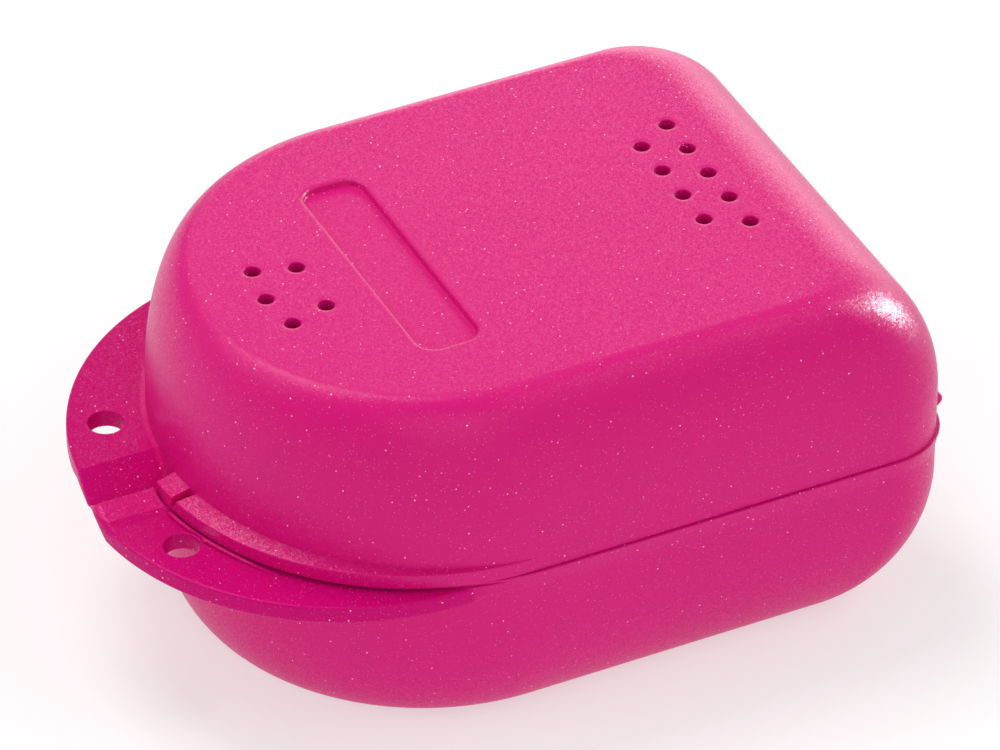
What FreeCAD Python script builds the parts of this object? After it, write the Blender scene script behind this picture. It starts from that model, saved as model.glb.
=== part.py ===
import FreeCAD, Part
import os
import Sketcher

# Orthodontic retainer case: two snap-together plastic shells, hinged at the back.
# Both shells come from one mould form: the lower one is the upper one turned over about
# its front-to-back axis, so each shell carries one half of the front flange, one half of
# the front rail, one hinge pin and one hinge hook.
#
# A shell is drawn with its parting plane at Z = 0 and its dome above it.  X = 0 is the
# middle of the case, -Y is the front with the flange, +Y is the back with the hinge.

doc = FreeCAD.newDocument("RetainerCase")

# Driving sizes in millimetres, angles in degrees.
SIZES = [
    ("half_width", 35.0, "middle plane to the straight side wall"),
    ("half_height", 24.0, "parting plane to the flat outside of a dome"),
    ("rim_reach", 36.2, "front apex of the rim band, ahead of the cross axis"),
    ("dome_reach", 33.7, "front apex of the dome wall, ahead of the cross axis"),
    ("rear_reach", 57.7, "back wall, behind the cross axis"),
    ("corner_radius", 9.0, "back corner at the rim, seen from above"),
    ("corner_tightening", 1.9, "how much smaller the back corner is at the flat top"),
    ("straight_wall", 5.9, "height of the upright wall above the parting plane"),
    ("side_round", 6.85, "inward run of the side walls' rounding"),
    ("rear_round", 13.8, "inward run of the back wall's rounding"),
    ("front_round", 5.9, "inward run of the front wall's rounding"),
    ("wall", 1.8, "wall thickness"),
    ("rim_gap", 0.2, "gap between the two rims at the parting plane"),
    ("proud", 0.35, "how far the rim stands out on the flange's side"),
    ("proud_height", 2.5, "height over which the rim's swelling dies out"),
    ("rail_height", 2.6, "top of the front rail above the parting plane"),
    ("rail_edge", 0.4, "bevel along the rail's upper outer edge"),
    ("block_start", 1.3, "side of the nose block nearest the middle"),
    ("notch_start", 5.0, "side of the nose block next to its notch"),
    ("notch_width", 1.5, "width of the notch at the rail's top"),
    ("notch_floor", 0.5, "height of the notch's lowest point"),
    ("flange_radius", 34.2, "radius of the flange's outer edge"),
    ("flange_reach", 44.5, "front apex of the flange, ahead of the cross axis"),
    ("flange_thickness", 2.4, "thickness of the flange"),
    ("flange_gap", 0.4, "underside of the flange above the parting plane"),
    ("flange_edge", 0.35, "bevel of the flange's outer edges"),
    ("flange_run_in", 10.0, "angle by which the flange runs on into the side wall"),
    ("ramp_run", 4.0, "length of the ramp down to the middle, on top"),
    ("ramp_foot", 0.2, "height of the ramp's top at the middle"),
    ("wedge_run", 1.0, "slant of the wedge's end face"),
    ("wedge_drop", 1.0, "how far the wedge reaches past the parting plane"),
    ("wedge_length", 3.9, "length of the wedge's sloping underside"),
    ("wedge_clearance", 0.3, "gap between a wedge and the other shell's rail"),
    ("cord_bore", 4.5, "cord hole in the flange"),
    ("cord_across", 11.3, "cord hole from the middle plane"),
    ("cord_reach", 37.3, "cord hole ahead of the cross axis"),
    ("sill_clearance", 0.2, "gap between the sill and the other shell's rail"),
    ("sill_thickness", 0.45, "thickness of the sill outside the rail"),
    ("sill_rise", 0.6, "height of the sill past the flange's inner face"),
    ("sill_from", 8.0, "angle from the front where the sill starts"),
    ("sill_to", 38.0, "angle from the front where the sill ends"),
    ("lip_clearance", 0.2, "gap between the locating lip and the other shell's wall"),
    ("lip_thickness", 0.9, "thickness of the locating lip"),
    ("lip_depth", 1.5, "reach of the locating lip past its own rim"),
    ("lip_root", 2.0, "height of the lip's root inside its own wall"),
    ("lip_from", 14.0, "angle from the front where the lip starts"),
    ("lip_back", 40.0, "back end of the lip, behind the cross axis"),
    ("hinge_back", 1.15, "hinge axis behind the back wall"),
    ("lug_radius", 0.95, "rounded end of a pin lug"),
    ("lug_width", 3.2, "width of a pin lug"),
    ("lug_outside", 26.1, "outer face of the outer lug, from the middle plane"),
    ("lug_height", 3.2, "top of a lug or hook on the back wall"),
    ("pin_radius", 0.7, "hinge pin"),
    ("pin_clearance", 0.1, "radial running gap between hook and pin"),
    ("hook_wall", 0.7, "thickness of the hook round the pin"),
    ("hook_mouth", 87.0, "angle below the level where the hook's tip ends"),
    ("hook_play", 0.3, "end gap between the hook and a lug"),
    ("relief_clearance", 0.25, "gap between the hook and the wall it turns in"),
    ("vent_bore", 2.1, "ventilation hole"),
    ("vent_pitch", 5.65, "distance between holes of a back row"),
    ("back_row", 39.9, "first back row of holes, behind the cross axis"),
    ("second_row", 34.95, "second back row of holes, behind the cross axis"),
    ("outer_arc", 20.5, "radius of the front holes' outer arc"),
    ("inner_arc", 15.05, "radius of the front holes' inner arc"),
    ("arc_step", 16.5, "angle between neighbours on a front arc"),
    ("label_length", 33.6, "bare label recess, side to side"),
    ("label_width", 9.0, "bare label recess, front to back"),
    ("label_centre", 4.0, "middle of the label recess, ahead of the cross axis"),
    ("label_corner", 2.6, "corner radius of the label recess"),
    ("label_depth", 0.6, "depth of the label recess"),
]

BACK_ROW_HOLES = 5
SECOND_ROW_HOLES = 4
OUTER_ARC_HOLES = 3
INNER_ARC_HOLES = 2

# Angles of the rounding at which an outline is drawn, from the upright wall to the flat
# top.  They close up towards the top, where the rounding turns fastest.
OUTSIDE_ANGLES = (0, 13, 26, 39, 50, 60, 68, 76, 84, 90)
INSIDE_ANGLES = (0, 25, 45, 62, 77, 90)

sheet = doc.addObject("Spreadsheet::Sheet", "Sizes")
for row, (alias, size, meaning) in enumerate(SIZES, start=1):
    sheet.set(f"A{row}", meaning)
    sheet.set(f"B{row}", str(size))
    sheet.setAlias(f"B{row}", alias)
doc.recompute()

# Formulas used in more than one place.
RIM_FACE = "Sizes.rim_gap / 2"
RIM_CENTRE = "(Sizes.half_width - Sizes.rim_reach)"
FLANGE_TOP = "(Sizes.flange_gap + Sizes.flange_thickness)"
FLANGE_CENTRE = "(Sizes.flange_radius - Sizes.flange_reach)"
HINGE_AXIS = "(Sizes.rear_reach + Sizes.hinge_back)"
HOOK_BORE = "(Sizes.pin_radius + Sizes.pin_clearance)"
HOOK_RADIUS = "(Sizes.pin_radius + Sizes.pin_clearance + Sizes.hook_wall)"
PIN_START = "(Sizes.lug_outside - Sizes.lug_width)"
PIN_LENGTH = "(Sizes.lug_width * 1.5)"
CLEAR_ABOVE = "(Sizes.flange_gap + Sizes.flange_thickness + 1)"
CLEAR_BELOW = "(-Sizes.wedge_drop - 1)"


def number(formula):
    """Value of a formula at the sheet's present sizes."""
    return float(sheet.evalExpression(formula))


def origin_plane(body, role):
    """One of the body's own origin planes or axes."""
    return next(part for part in body.Origin.OriginFeatures if part.Role == role)


def new_sketch(body, name, role, offset="0"):
    """Empty sketch on an origin plane of its own body, moved along the plane's normal."""
    sketch = body.newObject("Sketcher::SketchObject", f"{body.Name}_{name}")
    sketch.AttachmentSupport = [(origin_plane(body, role), "")]
    sketch.MapMode = "FlatFace"
    sketch.setExpression("AttachmentOffset.Base.z", offset)
    return sketch


def hold(sketch, kind, places, formula):
    """Measured constraint whose value follows the sheet."""
    index = sketch.addConstraint(Sketcher.Constraint(kind, *places, number(formula)))
    sketch.setExpression(f"Constraints[{index}]", formula)


def relate(sketch, kind, *places):
    """Constraint without a value."""
    sketch.addConstraint(Sketcher.Constraint(kind, *places))


def arc(centre_x, centre_y, radius, start, end):
    """Arc in sketch coordinates, from start to end in degrees, anticlockwise."""
    circle = Part.Circle()
    circle.Center = FreeCAD.Vector(centre_x, centre_y, 0)
    circle.Radius = radius
    turn = Part.ArcOfCircle(circle, 0, 1)
    to_radians = FreeCAD.Units.Quantity("1 deg").getValueAs("rad").Value
    turn.setParameterRange(start * to_radians, end * to_radians)
    return turn


def line(start, end):
    """Straight edge in sketch coordinates."""
    return Part.LineSegment(FreeCAD.Vector(*start, 0), FreeCAD.Vector(*end, 0))


def outline_sketch(body, name, height, width, reach, rear, corner, proud="0"):
    """Outline of the case seen from above: a half-round front, straight sides and two
    rounded back corners.  proud widens its left side and pushes out its left back corner."""
    sketch = new_sketch(body, name, "XY_Plane", height)
    right = number(width)
    left = right + number(proud)
    front_y = right - number(reach)
    back_y = number(rear)
    bend = number(corner)
    front_radius = (left + right) / 2
    sketch.addGeometry([
        arc((right - left) / 2, front_y, front_radius, 180, 360),
        line((right, front_y), (right, back_y - bend)),
        arc(right - bend, back_y - bend, bend, 0, 90),
        line((right - bend, back_y), (bend - left, back_y)),
        arc(bend - left, back_y - bend, bend, 90, 180),
        line((-left, back_y - bend), (-left, front_y)),
    ])
    relate(sketch, "Tangent", 0, 2, 1, 1)
    relate(sketch, "Tangent", 1, 2, 2, 1)
    relate(sketch, "Tangent", 2, 2, 3, 1)
    relate(sketch, "Tangent", 3, 2, 4, 1)
    relate(sketch, "Tangent", 4, 2, 5, 1)
    relate(sketch, "Tangent", 5, 2, 0, 1)
    relate(sketch, "Vertical", 1)
    relate(sketch, "Vertical", 5)
    relate(sketch, "Equal", 2, 4)
    hold(sketch, "DistanceX", (-1, 1, 1, 1), width)
    hold(sketch, "DistanceX", (-1, 1, 5, 1), f"-({width} + {proud})")
    hold(sketch, "DistanceY", (-1, 1, 0, 3), f"{width} - ({reach})")
    hold(sketch, "Radius", (2,), corner)
    hold(sketch, "DistanceY", (-1, 1, 3, 1), rear)
    hold(sketch, "DistanceY", (-1, 1, 3, 2), f"{rear} + {proud}")
    return sketch


def polygon_sketch(body, name, role, points, offset="0"):
    """Closed polygon whose corners are pairs of formulas."""
    sketch = new_sketch(body, name, role, offset)
    corners = [(number(across), number(along)) for across, along in points]
    count = len(points)
    sketch.addGeometry([line(corners[k], corners[(k + 1) % count]) for k in range(count)])
    for k, (across, along) in enumerate(points):
        relate(sketch, "Coincident", k, 2, (k + 1) % count, 1)
        hold(sketch, "DistanceX", (-1, 1, k, 1), across)
        hold(sketch, "DistanceY", (-1, 1, k, 1), along)
    return sketch


def circle_sketch(body, name, role, across, along, radius, offset="0"):
    """Circle at a place given by two formulas."""
    sketch = new_sketch(body, name, role, offset)
    centre = FreeCAD.Vector(number(across), number(along), 0)
    sketch.addGeometry(Part.Circle(centre, FreeCAD.Vector(0, 0, 1), number(radius)))
    hold(sketch, "DistanceX", (-1, 1, 0, 3), across)
    hold(sketch, "DistanceY", (-1, 1, 0, 3), along)
    hold(sketch, "Radius", (0,), radius)
    return sketch


def arc_strip_sketch(body, name, height, centre, inner, outer, start, end):
    """Strip between two arcs about one centre on the middle plane; start and end are
    angles from the cross axis, in degrees."""
    sketch = new_sketch(body, name, "XY_Plane", height)
    centre_y = number(centre)
    first = number(start)
    last = number(end)
    near = arc(0, centre_y, number(inner), first, last)
    far = arc(0, centre_y, number(outer), first, last)
    sketch.addGeometry([
        near,
        far,
        Part.LineSegment(near.StartPoint, far.StartPoint),
        Part.LineSegment(near.EndPoint, far.EndPoint),
    ])
    relate(sketch, "Coincident", 0, 1, 2, 1)
    relate(sketch, "Coincident", 1, 1, 2, 2)
    relate(sketch, "Coincident", 0, 2, 3, 1)
    relate(sketch, "Coincident", 1, 2, 3, 2)
    relate(sketch, "Coincident", 0, 3, 1, 3)
    relate(sketch, "PointOnObject", 0, 3, -2)
    relate(sketch, "PointOnObject", 0, 3, 2)
    relate(sketch, "PointOnObject", 0, 3, 3)
    hold(sketch, "DistanceY", (-1, 1, 0, 3), centre)
    hold(sketch, "Radius", (0,), inner)
    hold(sketch, "Radius", (1,), outer)
    for edge, angle in ((2, start), (3, end)):
        radians = FreeCAD.Units.Quantity(f"{number(angle)} deg").getValueAs("rad").Value
        index = sketch.addConstraint(Sketcher.Constraint("Angle", edge, radians))
        sketch.setExpression(f"Constraints[{index}]", f"({angle}) * 1 deg")
    return sketch


def lug_sketch(body, name, offset):
    """Side view of a pin lug: a rounded end about the hinge axis on a tapering root."""
    sketch = new_sketch(body, name, "YZ_Plane", offset)
    axis_y = number(HINGE_AXIS)
    radius = number("Sizes.lug_radius")
    foot = number(RIM_FACE)
    root = number("Sizes.rear_reach - Sizes.wall / 2")
    top = number("Sizes.lug_height")
    end = arc(axis_y, 0, radius, 175, 410)
    sketch.addGeometry([
        line((root, foot), (axis_y - radius, foot)),
        end,
        line((end.EndPoint.x, end.EndPoint.y), (root, top)),
        line((root, top), (root, foot)),
    ])
    relate(sketch, "Coincident", 0, 2, 1, 1)
    relate(sketch, "Tangent", 1, 2, 2, 1)
    relate(sketch, "Coincident", 2, 2, 3, 1)
    relate(sketch, "Coincident", 3, 2, 0, 1)
    relate(sketch, "Horizontal", 0)
    relate(sketch, "Vertical", 3)
    relate(sketch, "PointOnObject", 1, 3, -1)
    hold(sketch, "DistanceX", (-1, 1, 1, 3), HINGE_AXIS)
    hold(sketch, "Radius", (1,), "Sizes.lug_radius")
    hold(sketch, "DistanceX", (-1, 1, 0, 1), "Sizes.rear_reach - Sizes.wall / 2")
    hold(sketch, "DistanceY", (-1, 1, 0, 1), RIM_FACE)
    hold(sketch, "DistanceY", (-1, 1, 2, 2), "Sizes.lug_height")
    return sketch


def hook_sketch(body, name, offset):
    """Side view of the snap hook: a tapering root that wraps over, behind and under the
    other shell's pin, and leaves a mouth towards the front for the pin to snap through."""
    sketch = new_sketch(body, name, "YZ_Plane", offset)
    axis_y = number(HINGE_AXIS)
    bore = number(HOOK_BORE)
    radius = number(HOOK_RADIUS)
    foot = number(RIM_FACE)
    root = number("Sizes.rear_reach - Sizes.wall / 2")
    top = number("Sizes.lug_height")
    mouth = number("Sizes.hook_mouth")
    inside = arc(axis_y, 0, bore, -mouth, 173)
    outside = arc(axis_y, 0, radius, -mouth, 50)
    sketch.addGeometry([
        line((root, foot), (inside.EndPoint.x, foot)),
        inside,
        Part.LineSegment(inside.StartPoint, outside.StartPoint),
        outside,
        line((outside.EndPoint.x, outside.EndPoint.y), (root, top)),
        line((root, top), (root, foot)),
    ])
    relate(sketch, "Coincident", 0, 2, 1, 2)
    relate(sketch, "Coincident", 1, 1, 2, 1)
    relate(sketch, "Coincident", 2, 2, 3, 1)
    relate(sketch, "Tangent", 3, 2, 4, 1)
    relate(sketch, "Coincident", 4, 2, 5, 1)
    relate(sketch, "Coincident", 5, 2, 0, 1)
    relate(sketch, "Coincident", 1, 3, 3, 3)
    relate(sketch, "PointOnObject", 1, 3, -1)
    relate(sketch, "PointOnObject", 1, 3, 2)
    relate(sketch, "Horizontal", 0)
    relate(sketch, "Vertical", 5)
    hold(sketch, "DistanceX", (-1, 1, 1, 3), HINGE_AXIS)
    hold(sketch, "Radius", (1,), HOOK_BORE)
    hold(sketch, "Radius", (3,), HOOK_RADIUS)
    hold(sketch, "DistanceX", (-1, 1, 0, 1), "Sizes.rear_reach - Sizes.wall / 2")
    hold(sketch, "DistanceY", (-1, 1, 0, 1), RIM_FACE)
    hold(sketch, "DistanceY", (-1, 1, 4, 2), "Sizes.lug_height")
    radians = FreeCAD.Units.Quantity(f"{-mouth} deg").getValueAs("rad").Value
    index = sketch.addConstraint(Sketcher.Constraint("Angle", 2, radians))
    sketch.setExpression(f"Constraints[{index}]", "-Sizes.hook_mouth * 1 deg")
    return sketch


def pad(body, name, sketch, length, downwards=False):
    """Adds the sketch's area as a solid of the given length."""
    feature = body.newObject("PartDesign::Pad", f"{body.Name}_{name}")
    feature.Profile = sketch
    feature.Reversed = downwards
    feature.setExpression("Length", length)
    settle(body, feature, grows=True)
    return feature


def pocket(body, name, sketch, length, forwards=False):
    """Cuts the sketch's area to the given depth, against the sketch's normal, or along it."""
    feature = body.newObject("PartDesign::Pocket", f"{body.Name}_{name}")
    feature.Profile = sketch
    feature.Reversed = forwards
    feature.setExpression("Length", length)
    settle(body, feature, grows=False)
    return feature


def loft(body, kind, name, sections):
    """Straight bands from outline to outline, as one solid that is added or cut away."""
    feature = body.newObject(f"PartDesign::{kind}", f"{body.Name}_{name}")
    feature.Profile = sections[0]
    feature.Sections = sections[1:]
    feature.Ruled = True
    settle(body, feature, grows=kind == "AdditiveLoft")
    return feature


def settle(body, feature, grows):
    """Recomputes and makes sure that the feature really added or removed material."""
    before = settle.volumes.get(body.Name, 0.0)
    doc.recompute()
    after = feature.Shape.Volume
    if grows and after <= before:
        raise RuntimeError(f"{feature.Name} added nothing")
    if not grows and after >= before:
        raise RuntimeError(f"{feature.Name} cut nothing")
    settle.volumes[body.Name] = after


settle.volumes = {}


def dome_sections(body, name, angles, inset):
    """Outlines of the dome from its upright wall to its flat top, drawn in by inset."""
    sections = []
    for angle in angles:
        lean = f"(1 - cos({angle}))"
        rise = f"(Sizes.half_height - Sizes.straight_wall - {inset}) * sin({angle})"
        sections.append(outline_sketch(
            body,
            f"{name}_{angle}",
            f"Sizes.straight_wall + {rise}",
            f"(Sizes.half_width - Sizes.side_round * {lean} - {inset})",
            f"(Sizes.dome_reach - Sizes.front_round * {lean} - {inset})",
            f"(Sizes.rear_reach - Sizes.rear_round * {lean} - {inset})",
            f"(Sizes.corner_radius - Sizes.corner_tightening * {lean} - {inset})",
        ))
    return sections


def wall_outline(body, name, height, inset="0", proud="0", reach="Sizes.dome_reach"):
    """Outline of the upright wall, or of the rim band where reach is the rim's."""
    return outline_sketch(
        body,
        name,
        height,
        f"(Sizes.half_width - {inset})",
        f"({reach} - {inset})",
        f"(Sizes.rear_reach - {inset})",
        f"(Sizes.corner_radius - {inset})",
        proud,
    )


def bevel_flange_edge(body, name, height):
    """Bevels the flange's outer edge at the given height."""
    base = body.Tip
    chosen = []
    for index, edge in enumerate(base.Shape.Edges, start=1):
        curve = edge.Curve
        if not isinstance(curve, Part.Circle):
            continue
        same_height = abs(curve.Center.z - number(height)) < 0.01
        if same_height and abs(curve.Radius - number("Sizes.flange_radius")) < 0.01:
            chosen.append(f"Edge{index}")
    bevel = body.newObject("PartDesign::Chamfer", f"{body.Name}_{name}")
    bevel.Base = (base, chosen)
    bevel.setExpression("Size", "Sizes.flange_edge")
    settle(body, bevel, grows=False)


def add_flange_and_rail(body):
    """Half of the front flange on the left, with its ramp and wedge at the middle, and the
    rim band whose right half shows as the rail."""
    plate = arc_strip_sketch(
        body, "flange_plan", "-Sizes.wedge_drop", FLANGE_CENTRE,
        "Sizes.flange_radius / 4", "Sizes.flange_radius", "180 - Sizes.flange_run_in", "270",
    )
    pad(body, "flange_plate", plate, f"{FLANGE_TOP} + Sizes.wedge_drop")
    bevel_flange_edge(body, "flange_upper_bevel", FLANGE_TOP)
    rail_shoulder = "Sizes.rail_height - Sizes.rail_edge"
    band = wall_outline(body, "rim_plan", RIM_FACE, reach="Sizes.rim_reach")
    pad(body, "rim_band", band, f"{rail_shoulder} - {RIM_FACE}")
    bevel = [
        wall_outline(body, "rail_shoulder", rail_shoulder, reach="Sizes.rim_reach"),
        wall_outline(body, "rail_top", "Sizes.rail_height", "Sizes.rail_edge",
                     reach="Sizes.rim_reach"),
    ]
    loft(body, "AdditiveLoft", "rail_bevel", bevel)

    beyond = "-(Sizes.half_width + 2)"
    ramp = polygon_sketch(body, "ramp_profile", "XZ_Plane", [
        (beyond, CLEAR_BELOW),
        (beyond, "Sizes.flange_gap"),
        ("-Sizes.wedge_run - Sizes.wedge_length", "Sizes.flange_gap"),
        ("-Sizes.wedge_run", "-Sizes.wedge_drop"),
        ("0", "Sizes.ramp_foot"),
        ("-Sizes.ramp_run", FLANGE_TOP),
        ("-Sizes.ramp_run", CLEAR_ABOVE),
        ("Sizes.block_start", CLEAR_ABOVE),
        ("Sizes.block_start", CLEAR_BELOW),
    ])
    pocket(body, "ramp", ramp, "Sizes.flange_reach + 1", forwards=True)

    relief = circle_sketch(
        body, "wedge_relief_plan", "XY_Plane", "0", RIM_CENTRE,
        "Sizes.half_width + Sizes.wedge_clearance", RIM_FACE,
    )
    pocket(body, "wedge_relief", relief, "Sizes.wedge_drop + 1")


def add_dome(body):
    """Outer form: upright wall with its swelling at the rim, then the rounded dome."""
    rim = wall_outline(body, "rim_swollen", RIM_FACE, proud="Sizes.proud")
    above_rim = wall_outline(body, "rim_plain", "Sizes.proud_height")
    loft(body, "AdditiveLoft", "rim_swelling", [rim, above_rim])
    upright = wall_outline(body, "wall_plan", "Sizes.proud_height")
    pad(body, "upright_wall", upright, "Sizes.straight_wall - Sizes.proud_height")
    sections = dome_sections(body, "dome", OUTSIDE_ANGLES, "0")
    loft(body, "AdditiveLoft", "dome", sections)


def hollow(body):
    """Inside form, one wall thickness in from the outside."""
    sections = dome_sections(body, "cavity", INSIDE_ANGLES, "Sizes.wall")
    loft(body, "SubtractiveLoft", "cavity", sections)
    mouth = wall_outline(body, "mouth_plan", "Sizes.straight_wall", inset="Sizes.wall")
    pocket(body, "mouth", mouth, "Sizes.straight_wall + Sizes.wedge_drop")


def cut_rail_notch(body):
    """Notch that parts the nose block from the rail, outside the dome's wall."""
    notch = polygon_sketch(body, "notch_profile", "XZ_Plane", [
        ("Sizes.notch_start", CLEAR_ABOVE),
        ("Sizes.notch_start", "Sizes.notch_floor"),
        ("Sizes.notch_start + Sizes.notch_width", "Sizes.rail_height"),
        ("Sizes.notch_start + Sizes.notch_width", CLEAR_ABOVE),
    ], "Sizes.dome_reach - Sizes.wall / 4")
    pocket(body, "notch", notch, "Sizes.rim_reach - Sizes.dome_reach + 1", forwards=True)


def add_sill(body):
    """Thin upstanding sill on the flange's inner face, just outside the other's rail."""
    inner = "(Sizes.half_width + Sizes.sill_clearance)"
    sill = arc_strip_sketch(
        body, "sill_plan", "Sizes.flange_gap", RIM_CENTRE,
        inner, f"{inner} + Sizes.sill_thickness",
        "270 - Sizes.sill_to", "270 - Sizes.sill_from",
    )
    pad(body, "sill", sill, "Sizes.sill_rise", downwards=True)


def add_locating_lip(body):
    """Lip inside the right half of the rim that reaches into the other shell."""
    outer = "(Sizes.wall + Sizes.lip_clearance)"
    inner = f"({outer} + Sizes.lip_thickness)"
    front_y = "(Sizes.half_width - Sizes.dome_reach)"
    floor = f"{RIM_FACE} - Sizes.lip_depth"
    reach = "Sizes.lip_depth + Sizes.lip_root"
    for name, outside, height, length in (
        ("lip_root", "(Sizes.wall / 2)", RIM_FACE, "Sizes.lip_root"),
        ("lip", outer, floor, reach),
    ):
        bend = arc_strip_sketch(
            body, f"{name}_bend", height, front_y,
            f"Sizes.half_width - {inner}", f"Sizes.half_width - {outside}",
            "270 + Sizes.lip_from", "360",
        )
        pad(body, f"{name}_front", bend, length)
        side = polygon_sketch(body, f"{name}_side", "XY_Plane", [
            (f"Sizes.half_width - {inner}", front_y),
            (f"Sizes.half_width - {outside}", front_y),
            (f"Sizes.half_width - {outside}", "Sizes.lip_back"),
            (f"Sizes.half_width - {inner}", "Sizes.lip_back"),
        ], height)
        pad(body, f"{name}_straight", side, length)


def add_hinge(body):
    """Pin between two lugs on the left, hook on the right, both on the hinge axis."""
    span_start = f"-{PIN_START}"
    relief = circle_sketch(
        body, "hinge_relief_side", "YZ_Plane", HINGE_AXIS, "0",
        f"{HOOK_RADIUS} + Sizes.relief_clearance", span_start,
    )
    pocket(body, "hinge_relief", relief, PIN_LENGTH, forwards=True)
    pad(body, "outer_lug", lug_sketch(body, "outer_lug_side", "-Sizes.lug_outside"),
        "Sizes.lug_width")
    pad(body, "inner_lug", lug_sketch(body, "inner_lug_side", f"{span_start} + {PIN_LENGTH}"),
        "Sizes.lug_width")
    pin = circle_sketch(
        body, "pin_side", "YZ_Plane", HINGE_AXIS, "0", "Sizes.pin_radius", span_start,
    )
    pad(body, "pin", pin, PIN_LENGTH)
    hook_start = f"{PIN_START} - {PIN_LENGTH} + Sizes.hook_play"
    hook = hook_sketch(body, "hook_side", hook_start)
    pad(body, "hook", hook, f"{PIN_LENGTH} - 2 * Sizes.hook_play")


def repeat_in_row(body, name, original, pitch, count):
    """Copies a hole to the right at an even pitch."""
    row = body.newObject("PartDesign::LinearPattern", f"{body.Name}_{name}")
    row.Originals = [original]
    row.Direction = (origin_plane(body, "X_Axis"), [""])
    row.Occurrences = count
    row.setExpression("Length", f"{pitch} * {count - 1}")
    body.Tip = row
    settle(body, row, grows=False)


def repeat_on_arc(body, name, original, step, count):
    """Copies a hole round the vertical axis at an even angle."""
    turn = body.newObject("PartDesign::PolarPattern", f"{body.Name}_{name}")
    turn.Originals = [original]
    turn.Axis = (origin_plane(body, "Z_Axis"), [""])
    turn.Occurrences = count
    turn.setExpression("Angle", f"{step} * {count - 1} * 1 deg")
    body.Tip = turn
    settle(body, turn, grows=False)


def drill(body, name, across, along, bore, top, depth):
    """Round hole straight down from the height top."""
    spot = circle_sketch(body, f"{name}_spot", "XY_Plane", across, along, f"{bore} / 2", top)
    return pocket(body, name, spot, depth)


def drill_vents(body):
    """Two rows of ventilation holes at the back and two arcs of them at the front."""
    top = "Sizes.half_height + 1"
    depth = "Sizes.wall + 2"
    for name, count, along in (
        ("back_vent", BACK_ROW_HOLES, "Sizes.back_row"),
        ("second_vent", SECOND_ROW_HOLES, "Sizes.second_row"),
    ):
        first = f"-Sizes.vent_pitch * {count - 1} / 2"
        hole = drill(body, name, first, along, "Sizes.vent_bore", top, depth)
        repeat_in_row(body, f"{name}_row", hole, "Sizes.vent_pitch", count)
    for name, count, radius, step in (
        ("outer_vent", OUTER_ARC_HOLES, "Sizes.outer_arc", "Sizes.arc_step"),
        ("inner_vent", INNER_ARC_HOLES, "Sizes.inner_arc", "(2 * Sizes.arc_step)"),
    ):
        swing = f"({step} * {count - 1} / 2)"
        hole = drill(
            body, name, f"-{radius} * sin({swing})", f"-{radius} * cos({swing})",
            "Sizes.vent_bore", top, depth,
        )
        repeat_on_arc(body, f"{name}_arc", hole, step, count)


def drill_cord_hole(body):
    """Hole through the flange for a cord."""
    drill(
        body, "cord_hole", "-Sizes.cord_across", "-Sizes.cord_reach", "Sizes.cord_bore",
        f"{FLANGE_TOP} + 1", "Sizes.flange_thickness + 2",
    )


def sink_label(body):
    """Bare recess with rounded corners for a name label."""
    sketch = new_sketch(body, "label_plan", "XY_Plane", "Sizes.half_height")
    right = number("Sizes.label_length / 2")
    back = number("Sizes.label_width / 2 - Sizes.label_centre")
    front = number("-Sizes.label_width / 2 - Sizes.label_centre")
    bend = number("Sizes.label_corner")
    sketch.addGeometry([
        line((bend - right, front), (right - bend, front)),
        arc(right - bend, front + bend, bend, 270, 360),
        line((right, front + bend), (right, back - bend)),
        arc(right - bend, back - bend, bend, 0, 90),
        line((right - bend, back), (bend - right, back)),
        arc(bend - right, back - bend, bend, 90, 180),
        line((-right, back - bend), (-right, front + bend)),
        arc(bend - right, front + bend, bend, 180, 270),
    ])
    for k in range(8):
        relate(sketch, "Tangent", k, 2, (k + 1) % 8, 1)
    relate(sketch, "Horizontal", 0)
    relate(sketch, "Vertical", 2)
    relate(sketch, "Horizontal", 4)
    relate(sketch, "Vertical", 6)
    relate(sketch, "Equal", 1, 3)
    relate(sketch, "Equal", 3, 5)
    relate(sketch, "Equal", 5, 7)
    hold(sketch, "Radius", (1,), "Sizes.label_corner")
    hold(sketch, "DistanceX", (-1, 1, 2, 1), "Sizes.label_length / 2")
    hold(sketch, "DistanceX", (-1, 1, 6, 1), "-Sizes.label_length / 2")
    hold(sketch, "DistanceY", (-1, 1, 0, 1), "-Sizes.label_width / 2 - Sizes.label_centre")
    hold(sketch, "DistanceY", (-1, 1, 4, 1), "Sizes.label_width / 2 - Sizes.label_centre")
    pocket(body, "label", sketch, "Sizes.label_depth")


def make_shell(name, with_label):
    """One shell of the case, drawn with its dome up."""
    body = doc.addObject("PartDesign::Body", name)
    body.Label = name
    add_flange_and_rail(body)
    add_dome(body)
    hollow(body)
    cut_rail_notch(body)
    add_sill(body)
    add_locating_lip(body)
    add_hinge(body)
    drill_cord_hole(body)
    drill_vents(body)
    if with_label:
        sink_label(body)
    bevel_flange_edge(body, "flange_lower_bevel", "Sizes.flange_gap")
    return body


def seat(body):
    """Puts the shell in the case's frame: middle of the case's length at Y = 0, and the
    underside of the lower dome at Z = 0."""
    length_shift = f"(Sizes.flange_reach - {HINGE_AXIS} - {HOOK_RADIUS}) / 2"
    body.setExpression("Placement.Base.y", length_shift)
    body.setExpression("Placement.Base.z", "Sizes.half_height")


upper_shell = make_shell("upper_shell", with_label=True)
seat(upper_shell)

lower_shell = make_shell("lower_shell", with_label=False)
turned_over = FreeCAD.Rotation(FreeCAD.Vector(0, 1, 0), 180)
lower_shell.Placement = FreeCAD.Placement(FreeCAD.Vector(0, 0, 0), turned_over)
seat(lower_shell)
doc.recompute()

for item in doc.Objects:
    if "Invalid" in item.State or "Error" in item.State:
        raise RuntimeError(f"{item.Name} is {item.State}")

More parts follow.
